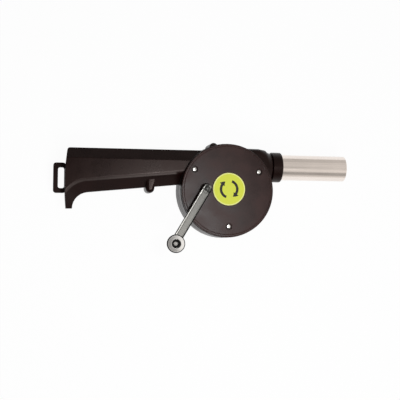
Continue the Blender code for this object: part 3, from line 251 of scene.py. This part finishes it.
def knobMetal():
    # polished crown between a dark well and a rim with painted shade
    finish, look, soft = Finish("knobMetal", Metallic=1.0), knobLook, knobLook["soft"]
    radius = finish.length(*finish.around(knobAt))
    fine = finish.noise(1300, 3)
    # the tone falls to least in the well, and as painted shade on the rim
    crown = finish.past(radius, look["well"], soft) * (1 - finish.past(radius, look["rim"], soft))
    tone = finish.spread(fine, 0.3, 0.7, *look["crown"]) * crown + look["least"]
    finish.feed("Base Color", finish.mix(tone, black, look["colour"]))
    finish.feed("Roughness", 0.62 - crown * finish.spread(fine, 0.3, 0.7, 0.36, 0.28))
    finish.bump(fine, 0.3, 0.04 * mm)
    return finish.material


# the grip's lower edge is a line that ends in the hook's arc; the crease runs along it, further in, and the
# painted highlight follows the crease
paintedCreaseLook = {"hookMiddle": (-131.7 * mm, -19.2 * mm), "hookRadius": 15.9 * mm, "slope": radians(5.7),
              "rise": (9.6 * mm, 10.6 * mm), "fall": (10.8 * mm, 13.4 * mm), "reach": 60 * mm,
              "end": (84 * mm, 87 * mm), "least": 0.45, "colour": (0.085, 0.069, 0.065, 1)}


def paintedCreaseHighlight(finish):
    # a painted highlight along the grip's crease, stronger towards the drum
    look = paintedCreaseLook
    x, y = finish.around(look["hookMiddle"])
    slope = look["slope"]
    along, across = x * cos(slope) + y * sin(slope), y * cos(slope) - x * sin(slope)
    inset = finish.length(across, along.maths("MINIMUM", 0)) - look["hookRadius"]
    band = finish.spread(inset, *look["rise"]) * (1 - finish.spread(inset, *look["fall"]))
    band = band * (1 - finish.spread(along, *look["end"]))
    return band * finish.spread(along, 0, look["reach"], look["least"], 1.0)


blackPlastic = {"colour": (0.0070, 0.0019, 0.0016), "roughness": 0.30, "grain": 0.25, "specular": 0.18,
                "tint": (1, 0.83, 0.78, 1)}
finishes = {
    "black_plastic": plastic("blackPlastic", **blackPlastic),
    "cover_plastic": plastic("coverPlastic", (0.026, 0.0100, 0.0085), 0.33, 0.55, specular=0.2, cloud=0.30),
    "label": labelFilm(),
    "tube_steel": metal("tubeSteel", (0.86, 0.78, 0.72), 0.15, 0.10, (0.02, 1, 1), 0.05, 900),
    "screw_steel": metal("nickel", (0.80, 0.79, 0.76), 0.24, 0.1, None, 0.06, 900),
    "shaft_steel": metal("shaftSteel", (0.50, 0.50, 0.51), 0.26, 0.1, (1, 1, 0.05), 0.08, 900),
    "bronze": metal("bronzeBush", (0.50, 0.31, 0.13), 0.38, 0.4, None, 0.15, 2200),
    "gear_plastic": plastic("acetal", (0.74, 0.72, 0.65), 0.40, 0.15, cloud=0.04),
    "impeller_plastic": plastic("impellerPlastic", (0.030, 0.030, 0.032), 0.48, 0.3),
}
ownFinish = {
    "front_housing": plastic("gripPlastic", paintedHighlight=paintedCreaseHighlight, **blackPlastic),
    "crank_arm": armMetal(),
    "crank_knob": knobMetal(),
    "crank_screw": metal("oiledSteel", (0.10, 0.10, 0.095), 0.45, 0.4, None, 0.6, 1500),
    "knob_rivet": metal("dullSteel", (0.66, 0.65, 0.63), 0.72, 0.3, None, 0.2, 1500),
}
print("finishes made:", len(finishes) + len(ownFinish))


# Shaping

sharpAngle, flatAngle = radians(32), radians(0.4)
onAxis, sameSpot, sameCorner = 1e-9, 1e-6, 2e-6
far = 1.0  # the height of a cutter's end that is above every piece
holeSides = 24


def turned(profile, at, steps=96, along="Z"):
    # a closed outline of (radius, height) points, spun about its axis
    bm = bmesh.new()
    points = [bm.verts.new((radius, 0, height)) for radius, height in profile]
    for one, two in zip(points, points[1:] + points[:1]):
        if hypot(one.co.x, two.co.x) > onAxis:
            bm.edges.new((one, two))
    bmesh.ops.spin(bm, geom=bm.verts[:] + bm.edges[:], axis=(0, 0, 1), angle=2 * pi, steps=steps,
                   use_merge=True)
    bmesh.ops.remove_doubles(bm, verts=bm.verts, dist=sameSpot)
    if along == "X":
        bmesh.ops.rotate(bm, verts=bm.verts, matrix=Matrix.Rotation(pi / 2, 3, "Y"))
    bmesh.ops.translate(bm, verts=bm.verts, vec=at)
    return bm


def rounding(corner, radius, start, end, steps=5):
    # points round an edge whose arc has its middle at corner
    turns = [radians(start + (end - start) * step / steps) for step in range(steps + 1)]
    return [(corner[0] + radius * cos(turn), corner[1] + radius * sin(turn)) for turn in turns]


def piece(name, bm):
    bmesh.ops.recalc_face_normals(bm, faces=bm.faces)
    mesh = bpy.data.meshes.new(name)
    bm.to_mesh(mesh)
    bm.free()
    made = bpy.data.objects.new(name, mesh)
    bpy.context.scene.collection.objects.link(made)
    return made


def rod(at, radius, low, high, steps=48):
    profile = [(0, low), (radius, low), (radius, high), (0, high)]
    return piece("cutter", turned(profile, (at[0], at[1], 0), steps))


def carve(made, cutters, operation="DIFFERENCE"):
    # cuts or joins other shapes, then removes them; this solver gives the same mesh each run
    for cutter in cutters:
        change = made.modifiers.new("carve", "BOOLEAN")
        change.solver, change.operation, change.object = "MANIFOLD", operation, cutter
    bpy.context.view_layer.update()
    graph = bpy.context.evaluated_depsgraph_get()
    made.data = bpy.data.meshes.new_from_object(made.evaluated_get(graph))
    made.modifiers.clear()
    for cutter in cutters:
        bpy.data.objects.remove(cutter, do_unlink=True)


def complete(made, node, edge, segments=2):
    # smooth shading, rounded edges and the finish, body and slot of the node that it stands for
    made.data.materials.clear()
    made.data.materials.append(ownFinish.get(node) or finishes[slotOf[node]])
    made.data.shade_smooth()
    made.data.set_sharp_from_angle(angle=sharpAngle)
    if edge:
        bevel = made.modifiers.new("edges", "BEVEL")
        bevel.width, bevel.segments, bevel.limit_method = edge, segments, "ANGLE"
        bevel.angle_limit, bevel.use_clamp_overlap = sharpAngle, False
        bevel.miter_outer = "MITER_ARC"
    normals = made.modifiers.new("normals", "WEIGHTED_NORMAL")
    normals.keep_sharp = True
    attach(made, bodyOf[node])
    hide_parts(node)


def dressed(node, edge, segments=2, shape=None):
    # a CAD node's own shape, with its faces joined and its edges rounded
    bm = bmesh.new()
    bm.from_mesh(frame["nodes"][node].data)
    bmesh.ops.remove_doubles(bm, verts=bm.verts, dist=sameCorner)
    bmesh.ops.dissolve_limit(bm, angle_limit=flatAngle, verts=bm.verts, edges=bm.edges)
    if shape:
        shape(bm)
    complete(piece(node + "_shell", bm), node, edge, segments)


# Housing

housing = {"edge": 0.3 * mm, "lugTop": 24.5 * mm, "lugHalf": 4.35 * mm, "lugReach": 10 * mm,
           "lugRound": 3.4 * mm, "lugSegments": 5, "lugAngle": 1.2, "near": 0.02 * mm}


def roundLug(bm):
    # the lug under the grip is a soft ridge: its front edges get a wide round
    low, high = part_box("housing_screw_4")
    middle = (low.x + high.x) / 2

    def onLug(place):
        return (abs(place.z - housing["lugTop"]) < housing["near"] and place.y < housing["lugReach"]
                and abs(place.x - middle) < housing["lugHalf"])

    edges = [edge for edge in bm.edges
             if edge.calc_face_angle(0) > housing["lugAngle"] and all(onLug(v.co) for v in edge.verts)]
    bmesh.ops.bevel(bm, geom=edges, offset=housing["lugRound"], offset_type="OFFSET", affect="EDGES",
                    segments=housing["lugSegments"], profile=0.5, material=-1, clamp_overlap=False)


dressed("rear_housing", housing["edge"])
dressed("front_housing", housing["edge"], shape=roundLug)
print("housing halves made")


# Gear cover, with its label and screws

coverLow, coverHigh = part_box("gear_cover")
cover = {"radius": coverHigh.x, "top": coverHigh.z, "thickness": 3.2 * mm, "round": 0.8 * mm,
         "lipRadius": 42.8 * mm, "lipWall": 1.5 * mm, "grooveInset": 2.4 * mm, "grooveHalf": 0.22 * mm,
         "grooveDepth": 0.25 * mm, "crankHole": 4.45 * mm, "bossRadius": 2.8 * mm, "bossGap": 0.3 * mm,
         "overlap": 1 * mm, "axleHole": 1.65 * mm, "axleDepth": 1.6 * mm, "labelGap": 0.3 * mm,
         "labelDepth": 0.3 * mm, "screwHole": 1.15 * mm, "recessRadius": 3.3 * mm, "recessDepth": 1.6 * mm,
         "edge": 0.15 * mm, "steps": 160}


def coverProfile():
    radius, top, small = cover["radius"], cover["top"], cover["round"]
    floor, lip = top - cover["thickness"], cover["lipRadius"]
    lipInner, groove, half = lip - cover["lipWall"], radius - cover["grooveInset"], cover["grooveHalf"]
    face = [(0, top), (groove - half, top), (groove, top - cover["grooveDepth"]), (groove + half, top)]
    edge = rounding((radius - small, top - small), small, 90, 0)
    underside = [(radius, floor), (lip, floor), (lip, coverLow.z), (lipInner, coverLow.z),
                 (lipInner, floor), (0, floor)]
    return face + edge + underside


coverScrews = ["cover_screw_1", "cover_screw_2", "cover_screw_3"]
labelLow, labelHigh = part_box("cover_label")
labelAt = (labelLow + labelHigh) / 2
label = {"radius": labelHigh.x - labelAt.x, "round": 0.12 * mm, "steps": 128, "recessSteps": 96}


def makeCover():
    made = piece("cover", turned(coverProfile(), (0, 0, 0), cover["steps"]))
    floor = cover["top"] - cover["thickness"]
    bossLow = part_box("idler_gear")[1].z + cover["bossGap"]
    carve(made, [rod(idlerAt, cover["bossRadius"], bossLow, floor + cover["overlap"])], "UNION")
    recessRadius, recessFloor = label["radius"] + cover["labelGap"], cover["top"] - cover["labelDepth"]
    cutters = [rod(crankAt, cover["crankHole"], 0, far),
               rod(labelAt, recessRadius, recessFloor, far, label["recessSteps"]),
               rod(idlerAt, cover["axleHole"], 0, floor + cover["axleDepth"], holeSides)]
    for node in coverScrews:
        low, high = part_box(node)
        at = (low + high) / 2
        cutters += [rod(at, cover["screwHole"], 0, far, holeSides),
                    rod(at, cover["recessRadius"], high.z - cover["recessDepth"], far)]
    carve(made, cutters)
    complete(made, "gear_cover", cover["edge"])


def makeLabel():
    radius, small, low, high = label["radius"], label["round"], labelLow.z, labelHigh.z
    edge = rounding((radius - small, high - small), small, 0, 90, 3)
    profile = [(0, low), (radius, low)] + edge + [(0, high)]
    complete(piece("label", turned(profile, (labelAt.x, labelAt.y, 0), label["steps"])), "cover_label", 0)


screw = {"shank": 1.0 * mm, "head": 1.3 * mm, "crownRound": 0.9 * mm, "crownFlat": 0.9,
         "crownTurns": (25, 50, 75), "slotLength": 2.7 * mm, "slotWidth": 0.55 * mm, "slotDepth": 0.75 * mm,
         "slotTaper": (0.45, 0.6, 1), "slotTurn": 0.4, "neck": 0.6 * mm, "point": 1.6 * mm,
         "threadPitch": 0.8 * mm, "threadDepth": 0.18 * mm, "edge": 0.06 * mm, "steps": 32}


def crossCutter(at, face, down):
    # the cross recess of a screw: two tapered bars
    bars = []
    for turn in (0, pi / 2):
        bm = bmesh.new()
        bmesh.ops.create_cube(bm, size=1)
        low = [v for v in bm.verts if v.co.z * down > 0]
        bmesh.ops.scale(bm, verts=low, vec=screw["slotTaper"])
        bmesh.ops.scale(bm, verts=bm.verts,
                        vec=(screw["slotLength"], screw["slotWidth"], 2 * screw["slotDepth"]))
        bmesh.ops.rotate(bm, verts=bm.verts, matrix=Matrix.Rotation(turn + screw["slotTurn"], 3, "Z"))
        bmesh.ops.translate(bm, verts=bm.verts, vec=(at[0], at[1], face))
        bars.append(piece("cutter", bm))
    return bars


def makeScrew(node, down):
    # a pan-head screw with a cross recess and a threaded shank; down is -1 where its head is on top
    low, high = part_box(node)
    at, radius = (low + high) / 2, (high.x - low.x) / 2
    face, point = (high.z, low.z) if down < 0 else (low.z, high.z)
    crown, shank, core = screw["crownRound"], screw["shank"], screw["shank"] - screw["threadDepth"]
    seat, drop = face + down * screw["head"], down * crown
    head = [(0, face), (radius - crown, face)]
    head += [(radius - crown + crown * sin(turn), face + drop * (1 - cos(turn)) * screw["crownFlat"])
             for turn in map(radians, screw["crownTurns"])]
    head += [(radius, face + drop), (radius, seat), (shank, seat)]
    thread, z = [], seat + down * screw["neck"]
    while abs(point - z) > screw["point"]:
        thread += [(core, z), (shank, z + down * screw["threadPitch"] / 2)]
        z += down * screw["threadPitch"]
    profile = head + thread + [(core, z), (0, point)]
    made = piece(node + "_finished", turned(profile, (at.x, at.y, 0), screw["steps"]))
    carve(made, crossCutter(at, face, down))
    complete(made, node, screw["edge"], 1)


makeCover()
makeLabel()
for node in coverScrews:
    makeScrew(node, -1)
for number in range(1, 6):
    makeScrew(f"housing_screw_{number}", 1)
print("cover, label and screws made")


# Nozzle

tubeLow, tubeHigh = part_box("nozzle_tube")
nozzleAt = (0, (tubeLow.y + tubeHigh.y) / 2, (tubeLow.z + tubeHigh.z) / 2)
tube = {"radius": (tubeHigh.z - tubeLow.z) / 2, "wall": 0.9 * mm, "steps": 128}
collar = {"socket": 12.65 * mm, "tail": 11.4 * mm, "tailLength": 4.2 * mm, "flange": 12.6 * mm,
          "flangeLength": 1.2 * mm, "bore": 10.2 * mm, "seat": 1.4 * mm, "chamfer": 0.2 * mm,
          "lipRound": 1.6 * mm, "shoulderRound": 0.5 * mm, "steps": 128}


def makeTube():
    radius, inner, half = tube["radius"], tube["radius"] - tube["wall"], tube["wall"] / 2
    end = rounding((radius - half, tubeHigh.x - half), half, 0, 180, 8)
    profile = end + [(inner, tubeLow.x), (radius, tubeLow.x)]
    complete(piece("tube", turned(profile, nozzleAt, tube["steps"], "X")), "nozzle_tube", 0)


def makeCollar():
    low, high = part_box("nozzle_collar")
    start, end, outer = low.x + collar["tailLength"], high.x, (high.z - low.z) / 2
    socket, tail, flange, bore = (collar[key] for key in ("socket", "tail", "flange", "bore"))
    chamfer, seat, flangeEnd = collar["chamfer"], start + collar["seat"], low.x + collar["flangeLength"]
    large, small = collar["lipRound"], collar["shoulderRound"]
    lip = rounding((outer - large, end - large), large, 90, 0)
    shoulder = rounding((outer - small, start + small), small, 0, -90, 3)
    profile = [(socket, end - chamfer), (socket + chamfer, end)] + lip + shoulder
    profile += [(tail, start), (tail, flangeEnd), (flange, flangeEnd), (flange, low.x), (bore, low.x),
                (bore, seat), (socket, seat)]
    complete(piece("collar", turned(profile, nozzleAt, collar["steps"], "X")), "nozzle_collar", 0)


makeTube()
makeCollar()
print("nozzle made")


# Crank

armLow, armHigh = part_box("crank_arm")
arm = {"half": 4.35 * mm, "thickness": 3.0 * mm, "rib": 0.8 * mm, "slope": 1.5 * mm, "depth": 0.5 * mm,
       "pad": 6.2 * mm, "hub": 4.2 * mm, "hubLift": 0.6 * mm, "overlap": 1 * mm, "screwHole": 1.15 * mm,
       "rivetHole": 1.55 * mm, "shaftHole": 3.15 * mm, "shaftGap": 0.3 * mm, "edge": 0.45 * mm, "steps": 64}


def stadium(name, ends, half, low, high, flare=0.0):
    # a long round-ended block between two points; its top is wider by flare
    bm = bmesh.new()
    bmesh.ops.create_circle(bm, cap_ends=True, segments=arm["steps"], radius=half)
    bmesh.ops.rotate(bm, verts=bm.verts, matrix=Matrix.Rotation(pi / arm["steps"], 3, "Z"))
    span = ends[1] - ends[0]
    grown = bmesh.ops.extrude_face_region(bm, geom=bm.faces[:])["geom"]
    top = [v for v in grown if isinstance(v, bmesh.types.BMVert)]
    bmesh.ops.scale(bm, verts=top, vec=((half + flare) / half, (half + flare) / half, 1))
    bmesh.ops.translate(bm, verts=top, vec=(0, 0, high - low))
    right = [v for v in bm.verts if v.co.x > 0]
    bmesh.ops.translate(bm, verts=right, vec=(span.length, 0, 0))
    turn = Vector((1, 0)).angle_signed(span.xy)
    bmesh.ops.rotate(bm, verts=bm.verts, matrix=Matrix.Rotation(-turn, 3, "Z"))
    bmesh.ops.translate(bm, verts=bm.verts, vec=(ends[0].x, ends[0].y, low))
    return piece(name, bm)


def makeArm():
    top, low = armHigh.z, armHigh.z - arm["thickness"]
    start, end = Vector((crankAt.x, crankAt.y, 0)), Vector((knobAt.x, knobAt.y, 0))
    along = (end - start).normalized()
    made = stadium("arm", (start, end), arm["half"], low, top)
    carve(made, [rod(crankAt, arm["hub"], armLow.z + arm["hubLift"], low + arm["overlap"])], "UNION")
    floor = arm["half"] - arm["rib"] - arm["slope"]
    inset = arm["pad"] + floor
    channel = stadium("cutter", (start + along * inset, end - along * inset), floor, top - arm["depth"],
                      top + arm["depth"], 2 * arm["slope"])
    shaftEnd = top - arm["thickness"] / 2 + arm["shaftGap"]
    carve(made, [channel, rod(crankAt, arm["screwHole"], 0, far, holeSides),
                 rod(knobAt, arm["rivetHole"], 0, far, holeSides),
                 rod(crankAt, arm["shaftHole"], 0, shaftEnd)])
    complete(made, "crank_arm", arm["edge"], 3)


# each pair is a distance from the radius beside it, and one from the knob's top or base
knob = {"radius": 8.65 * mm, "dome": 1.1 * mm, "domePower": 1.1, "edge": 1.2 * mm, "waist": 6.8 * mm,
        "foot": 7.7 * mm, "footRound": 0.2 * mm, "well": 4.3 * mm, "wellDepth": 4.2 * mm,
        "wellRound": 0.35 * mm, "wellMouth": (0.12 * mm, 0.08 * mm), "bore": 1.5 * mm, "steps": 128,
        "crownSide": ((0.1 * mm, 3.4 * mm), (0.6 * mm, 4.2 * mm)),
        "waistTop": ((0.35 * mm, 5.4 * mm), (0, 6.4 * mm)),
        "waistBase": ((0, 2.1 * mm), (0.3 * mm, 1.5 * mm)),
        "footTop": ((0.2 * mm, 1.0 * mm), (0, 0.8 * mm))}


def makeKnob():
    low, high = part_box("crank_knob")
    radius, top, floor, edge = knob["radius"], high.z, low.z, knob["edge"]
    well, waist, foot, small = knob["well"], knob["waist"], knob["foot"], knob["footRound"]
    crownStart, crownEnd = well + knob["wellRound"], radius - edge
    mouth = [(well, top - knob["wellRound"]), (well + knob["wellMouth"][0], top - knob["wellMouth"][1])]
    dome = [(crownStart + (crownEnd - crownStart) * share, top - knob["dome"] * share ** knob["domePower"])
            for share in (0, 0.2, 0.4, 0.6, 0.8)]
    rim = rounding((radius - edge, top - knob["dome"] - edge), edge, 80, 0, 6)
    side = [(radius - inward, top - down) for inward, down in knob["crownSide"]]
    side += [(waist + outward, top - down) for outward, down in knob["waistTop"]]
    side += [(waist + outward, floor + up) for outward, up in knob["waistBase"]]
    side += [(foot - inward, floor + up) for inward, up in knob["footTop"]]
    base = [(foot, floor + small), (foot - small, floor), (knob["bore"], floor)]
    inside = [(knob["bore"], top - knob["wellDepth"]), (well, top - knob["wellDepth"])]
    profile = mouth + dome + rim + side + base + inside
    complete(piece("knob", turned(profile, (knobAt.x, knobAt.y, 0), knob["steps"])), "crank_knob", 0)


smallEdge = 0.12 * mm
makeArm()
makeKnob()
for node in ("crank_bush", "crank_washer", "crank_screw", "knob_washer", "knob_rivet", "crank_shaft"):
    dressed(node, smallEdge)
print("crank made")


# What turns inside

toothEdge, bladeEdge = 0.08 * mm, 0.15 * mm
for node in ("crank_gear", "idler_gear", "fan_pinion"):
    dressed(node, toothEdge, 1)
for node in ("idler_axle", "fan_shaft", "fan_bush_rear", "fan_bush_front", "fan_washer", "fan_clip"):
    dressed(node, smallEdge)
dressed("impeller", bladeEdge)
print("fan and gears made")


# Studio

ground = {"half": 4.0, "drop": 0.2 * mm, "white": 0.96, "lit": (0.9, 0.9, 0.9, 1)}


def makeFloor():
    # lit white, with plain white mixed in for what the camera and reflections see
    bm = bmesh.new()
    bmesh.ops.create_grid(bm, x_segments=1, y_segments=1, size=ground["half"])
    bmesh.ops.translate(bm, verts=bm.verts, vec=(0, 0, -ground["drop"]))
    made = piece("floor", bm)
    material = bpy.data.materials.new("floorWhite")
    nodes = Nodes(material)
    nodes.tree.nodes.clear()
    lit = nodes.add("ShaderNodeBsdfDiffuse", sockets={"Color": ground["lit"]})
    white = nodes.add("ShaderNodeEmission")
    seen = nodes.add("ShaderNodeLightPath", out="Is Camera Ray")
    for ray in ("Is Glossy Ray", "Is Transmission Ray"):
        seen = seen + nodes.add("ShaderNodeLightPath", out=ray)
    mixed = nodes.add("ShaderNodeMixShader", sockets=(seen * ground["white"], lit, white))
    nodes.add("ShaderNodeOutputMaterial", sockets=(mixed,))
    made.data.materials.append(material)


# in reflections the sky is dim overhead, brighter to the right, and changes at bands across its
# depth: each band has the depth where its change starts, where it ends, and what it adds
sky = {"light": 0.15, "tint": (0.96, 0.98, 1.0, 1), "mirrorTint": (1, 0.97, 0.94, 1), "overhead": 0.20,
       "around": 0.48, "coneEdge": (0.93, 0.995), "sideways": 0.62, "least": 0.28,
       "bands": ((-0.18, -0.32, 0.13), (-0.54, -0.67, -0.41), (-0.86, -0.93, 0.34), (0.72, 0.80, -0.10))}


def makeWorld():
    # white to the camera, and dim in the light that it gives
    world = bpy.data.worlds.new("studio")
    bpy.context.scene.world = world
    nodes = Nodes(world)
    nodes.tree.nodes.clear()
    side, depth, up = nodes.parts(nodes.add("ShaderNodeTexCoord", out="Generated"))
    mirrored = nodes.spread(up, *sky["coneEdge"], sky["around"], sky["overhead"]) + side * sky["sideways"]
    for start, end, change in sky["bands"]:
        mirrored = mirrored + nodes.spread(depth, start, end, 0.0, change)
    mirrored = mirrored.maths("MAXIMUM", sky["least"]).maths("MINIMUM", 1.0)
    seen = nodes.add("ShaderNodeBackground", sockets={"Color": sky["tint"], "Strength": sky["light"]})
    for ray, tint, strength in (("Is Glossy Ray", sky["mirrorTint"], mirrored),
                                ("Is Camera Ray", (1, 1, 1, 1), 1.0)):
        pale = nodes.add("ShaderNodeBackground", sockets={"Color": tint, "Strength": strength})
        isRay = nodes.add("ShaderNodeLightPath", out=ray)
        seen = nodes.add("ShaderNodeMixShader", sockets=(isRay, seen, pale))
    nodes.add("ShaderNodeOutputWorld", sockets=(seen,))


lamps = {
    "key": {"at": (0.15, -0.60, 0.78), "aim": (0, 0, 0.02), "size": 0.40, "watts": 4.8, "mirrored": False},
    "top": {"at": (0.02, -0.03, 0.53), "aim": (-0.03, -0.02, 0.02), "size": 0.10, "watts": 0.95,
            "mirrored": True},
}


def makeLamps():
    for name, lamp in lamps.items():
        light = bpy.data.lights.new(name, "AREA")
        light.shape, light.size, light.energy = "SQUARE", lamp["size"], lamp["watts"]
        made = bpy.data.objects.new(name, light)
        made.location = lamp["at"]
        back = Vector(lamp["at"]) - Vector(lamp["aim"])
        made.rotation_euler = back.to_track_quat("Z", "Y").to_euler()
        made.visible_camera, made.visible_glossy = False, lamp["mirrored"]
        bpy.context.scene.collection.objects.link(made)


# place, directions and lens are solved from the photograph
camera = {"at": (-0.1668, -0.0388, 0.8150), "right": Vector((0.9843, 0.0100, 0.1762)),
          "up": Vector((-0.0163, 0.9993, 0.0343)), "lens": 74.88, "sensor": 36.0}


def makeCamera():
    data = bpy.data.cameras.new("camera")
    data.lens, data.sensor_width = camera["lens"], camera["sensor"]
    made = bpy.data.objects.new("camera", data)
    back = camera["right"].cross(camera["up"]).normalized()
    right = camera["up"].cross(back).normalized()
    turn = Matrix((right, back.cross(right), back)).transposed().to_4x4()
    made.matrix_world = Matrix.Translation(camera["at"]) @ turn
    bpy.context.scene.collection.objects.link(made)
    bpy.context.scene.camera = made


makeFloor()
makeWorld()
makeLamps()
makeCamera()
bpy.context.scene.view_settings.view_transform = "Standard"
print("studio made")
